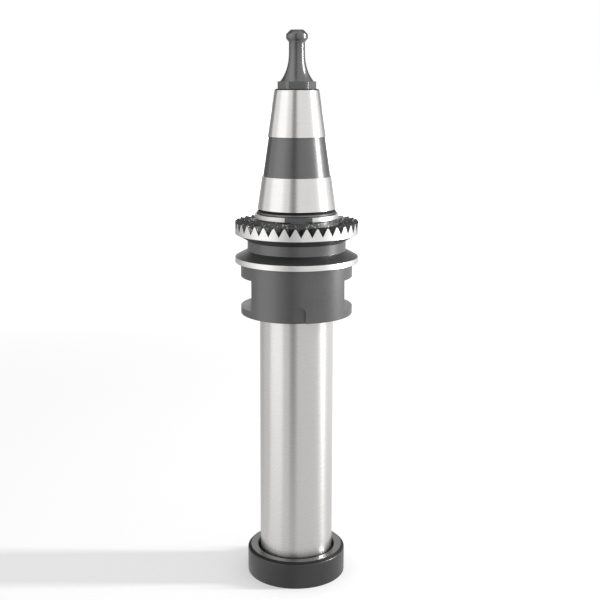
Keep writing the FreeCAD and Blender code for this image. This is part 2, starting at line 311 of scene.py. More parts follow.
class Wire:
    """An output of a node, with arithmetic that adds Math nodes to its sheet."""

    def __init__(self, sheet, socket):
        self.sheet = sheet
        self.socket = socket

    def math(self, operation, *values):
        """Math node on values or wires."""
        return self.sheet.add("ShaderNodeMath", {"operation": operation}, dict(enumerate(values)))

    def __add__(self, other):
        return self.math("ADD", self, other)

    def __sub__(self, other):
        return self.math("SUBTRACT", self, other)

    def __rsub__(self, other):
        return self.math("SUBTRACT", other, self)

    def __mul__(self, other):
        return self.math("MULTIPLY", self, other)

    def __truediv__(self, other):
        return self.math("DIVIDE", self, other)

    def __rtruediv__(self, other):
        return self.math("DIVIDE", other, self)

    __radd__ = __add__
    __rmul__ = __mul__


class Sheet:
    """A node tree of a material, of the world or of Geometry Nodes."""

    def __init__(self, tree):
        self.tree = tree

    def add(self, kind, settings=None, inputs=None, output=0):
        """Adds a node: its settings are set first, then the values or wires of its sockets; gives one output."""
        node = self.tree.nodes.new(kind)
        for name, value in (settings or {}).items():
            setattr(node, name, value)
        for name, value in (inputs or {}).items():
            for item in (value if isinstance(value, list) else [value]):
                if isinstance(item, Wire):
                    self.tree.links.new(item.socket, node.inputs[name])
                else:
                    node.inputs[name].default_value = item
        return Wire(self, node.outputs[output]) if len(node.outputs) else None

    def vector(self, operation, first, second=(0.0, 0.0, 0.0), output="Vector"):
        """Vector Math node on vectors or wires."""
        return self.add("ShaderNodeVectorMath", {"operation": operation}, {0: first, 1: second}, output)

    def combine(self, **parts):
        """Vector of the parts X, Y and Z that are given."""
        return self.add("ShaderNodeCombineXYZ", None, parts)

    def place(self):
        """Position on the piece, in metres."""
        return self.add("ShaderNodeTexCoord", output="Object")

    def noise(self, scale, detail=3.0, roughness=0.55):
        """Noise from 0 to 1, with a scale in features per metre along each axis."""
        spot = self.vector("MULTIPLY", self.place(), scale)
        inputs = {"Vector": spot, "Scale": 1.0, "Detail": detail, "Roughness": roughness}
        return self.add("ShaderNodeTexNoise", {"noise_dimensions": "3D"}, inputs)

    def between(self, value, start, end):
        """Smooth step of a value from 0 at start to 1 at end."""
        inputs = {"Value": value, "From Min": start, "From Max": end}
        return self.add("ShaderNodeMapRange", {"interpolation_type": "SMOOTHSTEP"}, inputs)

    def blend(self, factor, first, second):
        """Mix of two colours."""
        mixed = {0: factor, 6: rgba(first), 7: rgba(second)}
        return self.add("ShaderNodeMix", {"data_type": "RGBA"}, mixed, output=2)

    def bump(self, height, strength, distance=0.01 * MM):
        """Normal roughened by a height from 0 to 1."""
        return self.add("ShaderNodeBump", None, {"Height": height, "Strength": strength, "Distance": distance})

    def emission(self, strength):
        """White light of a strength."""
        return self.add("ShaderNodeEmission", None, {"Color": WHITE, "Strength": strength})


def rgba(value):
    """A colour with its alpha, or a wire as it is."""
    return value if isinstance(value, Wire) else (*value, 1.0)


def shading_sheet(owner):
    """Empty sheet of a material or the world."""
    owner.use_nodes = True
    owner.node_tree.nodes.clear()
    return Sheet(owner.node_tree)


def geometry_sheet(name, **kinds):
    """Sheet of a new Geometry Nodes tree with inputs of these kinds, and the wires of its geometry and of them."""
    tree = bpy.data.node_groups.new(name, "GeometryNodeTree")
    tree.interface.new_socket("Geometry", in_out="OUTPUT", socket_type="NodeSocketGeometry")
    kinds = {"Geometry": "Geometry", **kinds}
    for label, kind in kinds.items():
        tree.interface.new_socket(label, in_out="INPUT", socket_type="NodeSocket" + kind)
    sheet = Sheet(tree)
    source = tree.nodes.new("NodeGroupInput")
    return sheet, [Wire(sheet, source.outputs[label]) for label in kinds]


def principled(name, build, **constants):
    """Material of one Principled shader: build gives its varying sockets, constants its plain ones."""
    material = bpy.data.materials.new(name)
    sheet = shading_sheet(material)
    sockets = {key.replace("_", " "): value for key, value in constants.items()}
    sockets.update(build(sheet))
    shader = sheet.add("ShaderNodeBsdfPrincipled", None, sockets)
    sheet.add("ShaderNodeOutputMaterial", None, {"Surface": shader})
    return material


def bare_steel(name, finish, base, lay=2600.0, rougher=0.0):
    """Ground or turned steel: fine marks run round the axis, with faint stains; lay is the marks per metre."""
    def build(sheet):
        marks = sheet.noise((70, 70, lay), 4.0, 0.7)
        fine = sheet.noise((300, 300, 9000), 2.0)
        stains = sheet.noise((55, 55, 30), 3.0)
        dull = sheet.between((marks + stains) * 0.3 - 0.175, 0.0, 0.6)
        return {
            "Base Color": sheet.blend(dull, base, finish.ground_shade),
            "Roughness": marks * 0.10 + stains * 0.05 + (finish.ground_rough + rougher - 0.075),
            "Normal": sheet.bump(marks * 0.6 + fine * 0.4, 0.25),
        }
    return principled(name, build, Metallic=1.0, Anisotropic=0.75, Anisotropic_Rotation=0.25)


def black_oxide(name, finish, base, rough, ior=OXIDE_IOR, grain=900.0):
    """Blackened steel: a satin oxide skin with turning marks round the axis and a fine grain."""
    def build(sheet):
        marks = sheet.noise((90, 90, 3000), 3.0, 0.6)
        grains = sheet.noise((grain, grain, grain), 3.0)
        patches = sheet.noise((90, 90, 90), 2.0)
        worn = sheet.between(grains * 0.35 + patches * 0.35 + marks * 0.3, 0.36, 0.64)
        return {
            "Base Color": sheet.blend(worn, finish.black_shade, base),
            "Roughness": grains * 0.08 + marks * 0.10 + (rough - 0.09),
            "Normal": sheet.bump(marks * 0.6 + grains * 0.4, rough * 0.5),
        }
    return principled(name, build, IOR=ior)


def blasted_black(name, finish):
    """Rough blackened steel of the teeth's flanks and the neck, with bright specks."""
    def build(sheet):
        grains = sheet.noise((1500, 1500, 1500), 3.0, 0.7)
        specks = sheet.between(sheet.noise((1400, 1400, 1400), 2.0), 0.60, 0.68)
        return {
            "Base Color": sheet.blend(specks, sheet.blend(grains, finish.pit, finish.grain), finish.speck),
            "Metallic": specks,
            "Roughness": grains * 0.25 + 0.25,
            "Normal": sheet.bump(grains, 0.6, 0.06 * MM),
        }
    return principled(name, build, IOR=BLASTED_IOR)


def recess_black_and_shade(name, finish):
    """Deep black of narrow grooves, drilled holes and some chamfers and hollows: partly their unground black, partly
    painted shade.
    """
    def build(sheet):
        grains = sheet.noise((800, 800, 800), 2.0)
        return {
            "Base Color": sheet.blend(grains, finish.recess_shade, finish.recess),
            "Roughness": grains * 0.2 + 0.5,
        }
    return principled(name, build, Metallic=0.6)


def radii(sizes, *names):
    """Radii of the diameters with these names in a group of sizes."""
    return [getattr(sizes, name + "_dia") / 2 for name in names]


class Outline:
    """Half section of a turned piece, walked with the material on the left: up the outside, down inside a bore."""

    def __init__(self, radius, height):
        self.corners = [(radius, height, 0.0, 0.0)]
        self.finishes = []

    def to(self, radius, height, finish, ease=0.0, across=0.0):
        """Runs on to a corner; ease breaks that corner, and across holds its ring to a hexagon's flats."""
        self.corners.append((radius, height, ease, across))
        self.finishes.append(finish)

    def run(self, *corners):
        """Runs on through corners, each with what a single corner takes."""
        for corner in corners:
            self.to(*corner)
        return self

    def curve(self, corner, end, finish, steps=12):
        """Runs on along a curve that leaves towards a corner point and arrives from it."""
        start = Vector(self.corners[-1][:2])
        corner, end = Vector(corner), Vector(end)
        for i in range(1, steps + 1):
            t = i / steps
            point = start * (1 - t) ** 2 + corner * 2 * t * (1 - t) + end * t ** 2
            self.to(point.x, point.y, finish)
        return self

    def eased(self, closed):
        """Rings as (radius, height, across) and the finish of the face that leads to each."""
        rings = []
        finishes = []
        count = len(self.corners)
        for i, (radius, height, ease, across) in enumerate(self.corners):
            here = Vector((radius, height))
            leading = self.finishes[i - 1] if i else None
            if ease <= 0.0 or (not closed and i in (0, count - 1)):
                rings.append((radius, height, across))
                finishes.append(leading)
                continue
            back = Vector(self.corners[i - 1][:2]) - here
            on = Vector(self.corners[(i + 1) % count][:2]) - here
            start = here + back.normalized() * min(ease, back.length * EASE_SHARE)
            end = here + on.normalized() * min(ease, on.length * EASE_SHARE)
            for k in range(EASE_STEPS + 1):
                t = k / EASE_STEPS
                point = start * (1 - t) ** 2 + here * 2 * t * (1 - t) + end * t ** 2
                rings.append((point.x, point.y, across))
                finishes.append(leading)
        if closed:
            finishes[0] = self.finishes[-1]
        return rings, finishes


def ring_radius(radius, across, turn):
    """Radius of a ring at an angle, held to the flats of a hexagon where it has a width across flats."""
    if across <= 0.0:
        return radius
    sector = math.radians(60)
    from_flat = (turn + sector / 2) % sector - sector / 2
    return min(radius, across / 2 / math.cos(from_flat))


def ring_points(radius, height, across):
    """Points of one ring, or the single point of a pole."""
    if radius < TINY:
        return [(0.0, 0.0, height)]
    turns = [2 * math.pi * i / STEPS for i in range(STEPS)]
    reaches = [ring_radius(radius, across, turn) for turn in turns]
    return [(reach * math.cos(turn), reach * math.sin(turn), height) for reach, turn in zip(reaches, turns)]


def lathe(name, outline, materials, closed=False):
    """Object turned about Z from an outline; closed joins its last corner to its first."""
    rings, finishes = outline.eased(closed)
    shape = bmesh.new()
    loops = [[shape.verts.new(point) for point in ring_points(*ring)] for ring in rings]
    pairs = list(zip(loops, loops[1:], finishes[1:]))
    if closed:
        pairs.append((loops[-1], loops[0], finishes[0]))
    for lower, upper, finish in pairs:
        for i in range(STEPS):
            k = (i + 1) % STEPS
            around = [lower[i % len(lower)], lower[k % len(lower)], upper[k % len(upper)], upper[i % len(upper)]]
            face = shape.faces.new(list(dict.fromkeys(around)))
            face.material_index = finish
    return as_object(name, shape, materials)


def stand(name, data, matrix=Matrix.Identity(4)):
    """Object in the scene, at its place."""
    item = bpy.data.objects.new(name, data)
    item.matrix_world = matrix
    bpy.context.scene.collection.objects.link(item)
    return item


def as_object(name, shape, materials):
    """Scene object from a bmesh, with its material slots."""
    mesh = bpy.data.meshes.new(name)
    shape.to_mesh(mesh)
    shape.free()
    for material in materials:
        mesh.materials.append(material)
    return stand(name, mesh)


def bake_modifiers(piece):
    """Turns a piece and its modifiers into a plain mesh."""
    bpy.context.view_layer.update()
    evaluated = piece.evaluated_get(bpy.context.evaluated_depsgraph_get())
    mesh = bpy.data.meshes.new_from_object(evaluated)
    piece.modifiers.clear()
    old = piece.data
    piece.data = mesh
    mesh.name = piece.name
    bpy.data.meshes.remove(old)


def carve(piece, cutters):
    """Cuts cutters out of a piece; the cut faces keep the cutter's finish."""
    for cutter in cutters:
        modifier = piece.modifiers.new(cutter.name, "BOOLEAN")
        modifier.operation = "DIFFERENCE"
        modifier.solver = "EXACT"
        modifier.material_mode = "INDEX"
        modifier.object = cutter
    bake_modifiers(piece)
    for cutter in cutters:
        bpy.data.objects.remove(cutter)


def smooth(piece):
    """Smooth shading with sharp corners, led by the largest faces."""
    shape = bmesh.new()
    shape.from_mesh(piece.data)
    bmesh.ops.remove_doubles(shape, verts=shape.verts, dist=TINY * 10)
    for face in shape.faces:
        face.smooth = True
    for edge in shape.edges:
        edge.smooth = edge.is_manifold and edge.calc_face_angle() < SHARP_ANGLE
    shape.to_mesh(piece.data)
    shape.free()
    modifier = piece.modifiers.new("normals", "WEIGHTED_NORMAL")
    modifier.keep_sharp = True
    modifier.weight = 100
    bake_modifiers(piece)


def cutter_object(name, shape, finish, materials):
    """Cutter whose faces carry one finish."""
    for face in shape.faces:
        face.material_index = finish
    return as_object(name, shape, materials)


def block(name, lowest, highest, finish, materials):
    """Box between two corners, as a cutter."""
    shape = bmesh.new()
    lowest, highest = Vector(lowest), Vector(highest)
    matrix = Matrix.Translation((lowest + highest) / 2) @ Matrix.Diagonal((*(highest - lowest), 1.0))
    bmesh.ops.create_cube(shape, size=1.0, matrix=matrix)
    return cutter_object(name, shape, finish, materials)


def bar(name, centre, dia, height, finish, materials, turn=Matrix.Identity(4)):
    """Round bar, as a cutter: it stands on the centre of its foot, unless it is turned about that point."""
    shape = bmesh.new()
    matrix = Matrix.Translation(centre) @ turn @ Matrix.Translation((0, 0, height / 2))
    bmesh.ops.create_cone(shape, cap_ends=True, segments=HOLE_STEPS, radius1=dia / 2, radius2=dia / 2,
                          depth=height, matrix=matrix)
    return cutter_object(name, shape, finish, materials)


def opposite(cutter):
    """A copy of a cutter on the other side of the axis."""
    mesh = cutter.data.copy()
    mesh.transform(Matrix.Rotation(math.pi, 4, "Z"))
    return stand(cutter.name, mesh)


def pin_places(clamp):
    """Positions of the drive pins round the axis."""
    radius = clamp.pin_circle_dia / 2
    turns = [2 * math.pi * i / clamp.pin_count for i in range(clamp.pin_count)]
    return [Vector((radius * math.cos(turn), radius * math.sin(turn), 0.0)) for turn in turns]


# Finishes of the arbor, in the order of its materials
# RECESS_AND_SHADE paints grooves, holes, the neck under the collar and the taper's end chamfer darker than the oxide:
# partly real black, partly painted shade
TAPER, SHAFT, LAND, BAND, BLACK, ROUGH, RECESS_AND_SHADE = range(7)


def arbor_materials(finish):
    """The arbor's materials, in the order of its finishes."""
    return [
        bare_steel("arbor_ground_taper", finish, finish.ground),
        bare_steel("arbor_ground_shaft", finish, finish.ground, lay=1800.0),
        bare_steel("arbor_turned_land", finish, finish.turned, lay=3500.0, rougher=0.2),
        black_oxide("arbor_black_band", finish, finish.stud, finish.band_rough, BAND_IOR),
        black_oxide("arbor_black_hub", finish, finish.black, finish.black_rough),
        blasted_black("arbor_black_rough", finish),
        recess_black_and_shade("arbor_recess", finish),
    ]


def taper_radius(arbor, above_gauge):
    """Radius of the taper at a height above its gauge plane."""
    return (arbor.gauge_dia - above_gauge * arbor.taper_rate) / 2


def arbor_planes(arbor, clamp):
    """Heights of the hub's face, the flange's foot, its groove, the crown's seat and the taper's gauge plane."""
    hub_face_z = clamp.cap_top_z + arbor.shaft_reach
    flange_z = hub_face_z + arbor.hub_height
    groove_z = flange_z + arbor.flange_land
    crown_z = groove_z + 2 * arbor.groove_flank + arbor.groove_width
    return hub_face_z, flange_z, groove_z, crown_z, crown_z + arbor.gauge_above


def arbor_outline(arbor, clamp):
    """Half section of the arbor, from the screw's hole up the outside to the pull stud's hole."""
    hub_face_z, flange_z, groove_z, crown_z, gauge_z = arbor_planes(arbor, clamp)
    hole, shaft, hub, flange, floor, spigot = radii(arbor, "screw_hole", "shaft", "hub", "flange", "groove", "spigot")
    neck, collar, shoulder, gauge_relief = radii(arbor, "neck", "collar", "shoulder", "gauge_relief")
    pilot, stud_hole = radii(arbor, "pilot", "stud_hole")
    ease = arbor.ease

    # The shaft, its root relief and the undercut in the hub's face
    start_z = arbor.end_z
    hole_top = start_z + arbor.screw_hole_depth
    relief = shaft - arbor.relief_depth
    undercut = shaft + arbor.face_relief_width
    undercut_z = hub_face_z + arbor.face_relief_depth
    outline = Outline(0.0, hole_top).run(
        (hole, hole_top, RECESS_AND_SHADE),
        (hole, start_z, RECESS_AND_SHADE, ease),
        (shaft - arbor.shaft_chamfer, start_z, SHAFT, ease),
        (shaft, start_z + arbor.shaft_chamfer, SHAFT, ease),
        (shaft, hub_face_z - arbor.relief_width, SHAFT, ease),
        (relief, hub_face_z - arbor.relief_width, RECESS_AND_SHADE),
        (relief, undercut_z, RECESS_AND_SHADE),
        (undercut, undercut_z, RECESS_AND_SHADE),
        (undercut, hub_face_z, RECESS_AND_SHADE, ease))

    # The hub, the grooved flange and the seat of the toothed crown
    outline.run(
        (hub - arbor.hub_chamfer, hub_face_z, BLACK, ease),
        (hub, hub_face_z + arbor.hub_chamfer, BLACK, ease),
        (hub, flange_z, BLACK),
        (flange, flange_z, BLACK, ease),
        (flange, groove_z, LAND, ease),
        (floor, groove_z + arbor.groove_flank, BLACK, ease),
        (floor, crown_z - arbor.groove_flank, BLACK, ease),
        (flange, crown_z, BLACK, ease),
        (spigot, crown_z, ROUGH),
        (spigot, crown_z + arbor.spigot_height, ROUGH, ease))

    # The neck, the collar, the seam, the bevel and the groove under the gauge plane
    collar_top = gauge_z - arbor.collar_below
    collar_foot = collar_top - arbor.collar_width
    skirt_z = gauge_z - arbor.gauge_skirt
    skirt = taper_radius(arbor, -arbor.gauge_skirt)
    bevel_top = skirt_z - arbor.gauge_relief_width
    seam_top = collar_top + arbor.seam_width
    bevel = shoulder + (skirt - shoulder) * arbor.seam_width / (bevel_top - collar_top)
    outline.run(
        (neck, collar_foot - arbor.collar_flat_below, ROUGH),
        # The neck just under the collar takes the recess black as painted shade
        (neck, collar_foot, RECESS_AND_SHADE),
        (collar, collar_foot, LAND, ease),
        (collar, collar_top, LAND, ease),
        (shoulder - arbor.seam_depth, collar_top, LAND),
        (shoulder - arbor.seam_depth, seam_top, RECESS_AND_SHADE),
        (bevel, seam_top, RECESS_AND_SHADE),
        (skirt, bevel_top, BLACK, ease),
        (gauge_relief, bevel_top, RECESS_AND_SHADE),
        (gauge_relief, skirt_z, RECESS_AND_SHADE),
        (skirt, skirt_z, RECESS_AND_SHADE, ease))

    # The taper with its recessed band, and the pull stud's hole
    end_z = arbor.small_end_z
    chamfer_z = end_z - arbor.taper_chamfer
    lower = taper_radius(arbor, arbor.band_start)
    upper = taper_radius(arbor, arbor.band_end)
    pilot_z = end_z - arbor.pilot_length
    stud_floor = end_z - arbor.stud_hole_depth
    return outline.run(
        (lower, gauge_z + arbor.band_start, TAPER, ease),
        (lower - arbor.band_depth, gauge_z + arbor.band_start, TAPER),
        (upper - arbor.band_depth, gauge_z + arbor.band_end, BAND),
        (upper, gauge_z + arbor.band_end, BAND, ease),
        (taper_radius(arbor, chamfer_z - gauge_z), chamfer_z, TAPER, ease),
        (taper_radius(arbor, end_z - gauge_z) - arbor.taper_chamfer, end_z, RECESS_AND_SHADE, ease),
        (pilot, end_z, RECESS_AND_SHADE, ease),
        (pilot, pilot_z, RECESS_AND_SHADE),
        (stud_hole, pilot_z, RECESS_AND_SHADE),
        (stud_hole, stud_floor, RECESS_AND_SHADE),
        (0.0, stud_floor, RECESS_AND_SHADE))


def arbor_cutters(arbor, clamp, materials):
    """Cutters for the wrench flats, drive slots, collar flats and pin holes."""
    hub_face_z, *_, gauge_z = arbor_planes(arbor, clamp)
    hub, collar = radii(arbor, "hub", "collar")
    reach = arbor.flange_dia
    flats_z = hub_face_z + arbor.flats_above
    flat = block("flat", (arbor.flats_across / 2, -reach, flats_z), (reach, reach, flats_z + arbor.flats_height),
                 BLACK, materials)
    half = arbor.slot_width / 2
    slot_floor = arbor.slot_depth - hub
    arch_z = hub_face_z + arbor.slot_height - half
    slot = block("slot", (-half, -reach, hub_face_z - arbor.slot_depth), (half, slot_floor, arch_z), BLACK, materials)
    arch = bar("arch", (0, slot_floor, arch_z), arbor.slot_width, reach, BLACK, materials,
               Matrix.Rotation(math.radians(90), 4, "X"))
    half = arbor.collar_flat / 2
    notch_top = gauge_z - arbor.collar_below
    notch_foot = notch_top - arbor.collar_width - arbor.collar_flat_below
    notch = block("notch", (-half, -reach, notch_foot), (half, -math.sqrt(collar ** 2 - half ** 2), notch_top),
                  BLACK, materials)
    pairs = [flat, slot, arch, notch]
    foot = Vector((0, 0, arbor.end_z - clamp.pin_dia))
    holes = [bar("pin_hole", place + foot, clamp.pin_dia, arbor.pin_hole_depth + clamp.pin_dia, RECESS_AND_SHADE, materials)
             for place in pin_places(clamp)]
    return pairs + [opposite(cutter) for cutter in pairs] + holes


class HOLDER_OT_arbor(bpy.types.Operator):
    """Build the one-piece arbor in ground and blackened steel"""
    bl_idname = "holder.arbor"
    bl_label = "Arbor"

    def execute(self, context):
        arbor = context.scene.holder_arbor
        clamp = context.scene.holder_clamp
        materials = arbor_materials(context.scene.holder_finish)
        piece = lathe("arbor", arbor_outline(arbor, clamp), materials)
        carve(piece, arbor_cutters(arbor, clamp, materials))
        smooth(piece)
        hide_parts("arbor_body")
        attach(piece, "arbor")
        return {"FINISHED"}


def finished(sheet, geometry):
    """Ends a Geometry Nodes sheet in its result, and gives its tree."""
    sheet.add("NodeGroupOutput", None, {0: geometry})
    return sheet.tree


def grow(piece, tree, **values):
    """Runs a Geometry Nodes tree on a piece, with its inputs set by name, and keeps the plain mesh."""
    modifier = piece.modifiers.new(tree.name, "NODES")
    modifier.node_group = tree
    for item in tree.interface.items_tree:
        if item.in_out == "INPUT" and item.name in values:
            modifier[item.identifier] = values[item.name]
    bake_modifiers(piece)


def ring_tree():
    """Tree that sets a shape round the Z axis a number of times and welds the copies; skin covers its outside."""
    sheet, (shape, count, turn, weld, skin_radius, skin, body) = geometry_sheet(
        "ring_of_copies", count="Int", turn="Float", weld="Float", skin_radius="Float", skin="Material",
        body="Material")
    points = sheet.add("GeometryNodePoints", None, {"Count": count})
    around = sheet.add("GeometryNodeInputIndex") * (2 * math.pi / count) + turn
    copies = sheet.add("GeometryNodeInstanceOnPoints", None,
                       {"Points": points, "Instance": shape, "Rotation": sheet.combine(Z=around)})
    solid = sheet.add("GeometryNodeRealizeInstances", None, {"Geometry": copies})
    welded = sheet.add("GeometryNodeMergeByDistance", None, {"Geometry": solid, "Distance": weld})
    level = sheet.vector("MULTIPLY", sheet.add("GeometryNodeInputPosition"), LEVEL)
    reach = sheet.vector("LENGTH", level, output="Value")
    outside = reach.math("GREATER_THAN", reach, skin_radius)
    dark = sheet.add("GeometryNodeSetMaterial", None, {"Geometry": welded, "Material": body})
    done = sheet.add("GeometryNodeSetMaterial", None, {"Geometry": dark, "Selection": outside, "Material": skin})
    return finished(sheet, done)


def tooth_height(crown, radius, turn):
    """Height of the crown's surface at a radius and an angle from the middle of a tooth."""
    half_pitch = math.pi / crown.count
    root_z = crown.seat_z + crown.rim
    rise = radius * math.sin(half_pitch - abs(turn)) / math.tan(crown.gullet_angle / 2)
    chamfer_z = crown.tip_z - crown.chamfer + crown.outer_dia / 2 - radius
    return min(crown.tip_z, root_z + rise, chamfer_z)


def tooth(crown):
    """One tooth with its share of the ring, centred on the X axis."""
    half_pitch = math.pi / crown.count
    turns = [half_pitch * (2 * i / crown.columns - 1) for i in range(crown.columns + 1)]
    inner, outer = radii(crown, "bore", "outer")
    edge = outer - crown.chamfer
    reaches = [inner + (edge - inner) * i / crown.rows for i in range(crown.rows + 1)] + [outer]
    shape = bmesh.new()

    def at(radius, turn, share):
        """Corner at a share of the way from the seat up to the tooth's surface."""
        height = crown.seat_z + share * (tooth_height(crown, radius, turn) - crown.seat_z)
        return radius * math.cos(turn), radius * math.sin(turn), height

    def grid(place, first, second, flip):
        """Faces over two lists of values, with each corner placed by a function."""
        rows = [[shape.verts.new(place(a, b)) for b in second] for a in first]
        for i in range(len(first) - 1):
            for k in range(len(second) - 1):
                corner = [rows[i][k], rows[i + 1][k], rows[i + 1][k + 1], rows[i][k + 1]]
                shape.faces.new(corner[::-1] if flip else corner)

    grid(lambda radius, turn: at(radius, turn, 1.0), reaches, turns, False)
    grid(lambda radius, turn: at(radius, turn, 0.0), reaches, turns, True)
    grid(lambda turn, share: at(outer, turn, share), turns, (0.0, 1.0), False)
    grid(lambda turn, share: at(inner, turn, share), turns, (0.0, 1.0), True)
    return shape


class HOLDER_OT_crown(bpy.types.Operator):
    """Build the toothed crown, with black teeth and a bright outside"""
    bl_idname = "holder.crown"
    bl_label = "Toothed crown"

    def execute(self, context):
        crown = context.scene.holder_crown
        finish = context.scene.holder_finish
        skin = bare_steel("crown_turned_outside", finish, finish.turned, lay=900.0, rougher=0.22)
        body = blasted_black("crown_black_teeth", finish)
        piece = as_object("crown", tooth(crown), [body, skin])
        grow(piece, ring_tree(), count=crown.count, turn=crown.turn - math.pi / 2, weld=WELD,
             skin_radius=crown.outer_dia / 2 - SKIN_DEPTH, skin=skin, body=body)
        smooth(piece)
        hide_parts("toothed_crown")
        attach(piece, "arbor")
        return {"FINISHED"}


def thread_tree():
    """Tree that adds a V ridge wound round the Z axis to a shank; it fades out over half a turn at each end."""
    sheet, (shank, radius, pitch, foot, turns, coat) = geometry_sheet(
        "screw_thread", radius="Float", pitch="Float", foot="Float", turns="Float", coat="Material")
    depth = pitch * THREAD_DEPTH
    half = pitch * THREAD_HALF
    core = radius - depth
    spiral = sheet.add("GeometryNodeCurveSpiral", None,
                       {"Resolution": THREAD_STEPS, "Rotations": turns, "Start Radius": core, "End Radius": core,
                        "Height": turns * pitch})
    upright = sheet.add("GeometryNodeSetCurveNormal", {"mode": "Z_UP"}, {"Curve": spiral})
    along = sheet.add("GeometryNodeSplineParameter", output="Factor")
    from_end = along.math("MINIMUM", along, 1.0 - along) * turns
    fade = from_end.math("MINIMUM", from_end * 2.0, 1.0)
    faded = sheet.add("GeometryNodeSetCurveRadius", None, {"Curve": upright, "Radius": fade})
    ridge = sheet.add("GeometryNodeCurvePrimitiveQuadrilateral", {"mode": "POINTS"},
                      {"Point 1": sheet.combine(X=depth), "Point 2": sheet.combine(Y=half),
                       "Point 3": sheet.combine(X=depth * -0.5), "Point 4": sheet.combine(Y=half * -1.0)})
    wound = sheet.add("GeometryNodeCurveToMesh", None,
                      {"Curve": faded, "Profile Curve": ridge, "Fill Caps": True})
    placed = sheet.add("GeometryNodeSetPosition", None, {"Geometry": wound, "Offset": sheet.combine(Z=foot)})
    solid = sheet.add("GeometryNodeRealizeInstances", None, {"Geometry": placed})
    coated = sheet.add("GeometryNodeSetMaterial", None, {"Geometry": solid, "Material": coat})
    return finished(sheet, sheet.add("GeometryNodeJoinGeometry", None, {0: [coated, shank]}))


def add_thread(piece, radius, pitch, start_z, turns, coat):
    """Winds a thread on a shank from a height upwards."""
    grow(piece, thread_tree(), radius=radius, pitch=pitch, foot=start_z + pitch / 2, turns=turns, coat=coat)


class HOLDER_OT_stud(bpy.types.Operator):
    """Build the pull stud in polished black steel"""
    bl_idname = "holder.stud"
    bl_label = "Pull stud"

    def execute(self, context):
        stud = context.scene.holder_stud
        finish = context.scene.holder_finish
        black = black_oxide("stud_polished_black", finish, finish.stud, finish.stud_rough, grain=400.0)
        thread, pilot, corner, flare, neck, head, top = radii(
            stud, "thread", "pilot", "hex_corner", "flare", "neck", "head", "top")
        core = thread - stud.thread_pitch * THREAD_DEPTH
        seat_z = context.scene.holder_arbor.small_end_z
        pilot_z = stud.tip_z + stud.thread_length
        hex_top = seat_z + stud.hex_height
        ease = stud.ease
        outline = Outline(0.0, stud.tip_z).run(
            (core, stud.tip_z, 0, ease),
            (core, pilot_z, 0),
            (pilot, pilot_z, 0, ease),
            (pilot, seat_z, 0),
            (corner, seat_z, 0, ease / 2, stud.hex_across),
            (corner, hex_top, 0, ease, stud.hex_across),
            (flare, hex_top, 0))
        outline.curve((neck, hex_top + stud.flare_corner), (neck, seat_z + stud.neck_start), 0).run(
            (neck, seat_z + stud.neck_end, 0, ease * 3),
            (head, seat_z + stud.head_start, 0, ease),
            (head, seat_z + stud.head_end, 0, ease),
            (top, stud.top_z, 0, ease),
            (0.0, stud.top_z, 0))
        piece = lathe("stud", outline, [black])
        piece.data.transform(Matrix.Rotation(stud.hex_turn, 4, "Z"))
        smooth(piece)
        turns = stud.thread_length / stud.thread_pitch - 2
        add_thread(piece, thread, stud.thread_pitch, stud.tip_z, turns, black)
        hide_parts("pull_stud")
        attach(piece, "arbor")
        return {"FINISHED"}


class HOLDER_OT_cap(bpy.types.Operator):
    """Build the blackened end cap"""
    bl_idname = "holder.cap"
    bl_label = "End cap"

    def execute(self, context):
        clamp = context.scene.holder_clamp
        finish = context.scene.holder_finish
        # The cap's one black oxide is split into a darker side and a lighter face: painted shade where the side
        # mirrors the shadowed floor, painted light where the face mirrors bright walls; the chamfer takes the recess
        # black as a painted dark reflection
        side, inside, face = 0, 1, 2
        materials = [
            black_oxide("cap_black", finish, finish.stud, finish.black_rough, CAP_IOR),
            recess_black_and_shade("cap_recess", finish),
            black_oxide("cap_black_face", finish, finish.black, finish.black_rough),
        ]
        floor_z = context.scene.holder_arbor.end_z
        outer, recess, hole, sink = radii(clamp, "cap", "recess", "hole", "countersink")
        top_z = clamp.cap_top_z
        ease = clamp.ease
        outline = Outline(sink, 0.0).run(
            (outer, 0.0, side, ease),
            (outer, top_z - clamp.cap_chamfer, side, ease),
            # Chamfer in the recess black: a painted dark reflection
            (outer - clamp.cap_chamfer, top_z, inside, ease),
            (recess + clamp.recess_chamfer, top_z, face, ease),
            (recess, top_z - clamp.recess_chamfer, inside, ease),
            (recess, floor_z, inside),
            (hole, floor_z, inside, ease),
            (hole, clamp.countersink_z + sink - hole, inside),
            (sink, clamp.countersink_z, side))
        outline.finishes.append(side)  # the countersink's rim, which closes the outline
        piece = lathe("cap", outline, materials, closed=True)
        foot = Vector((0, 0, floor_z - clamp.pin_hole_depth))
        carve(piece, [bar("pin_hole", place + foot, clamp.pin_hole_dia, top_z, inside, materials)
                      for place in pin_places(clamp)])
        smooth(piece)
        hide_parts("clamp_cap")
        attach(piece, "end_cap")
        return {"FINISHED"}


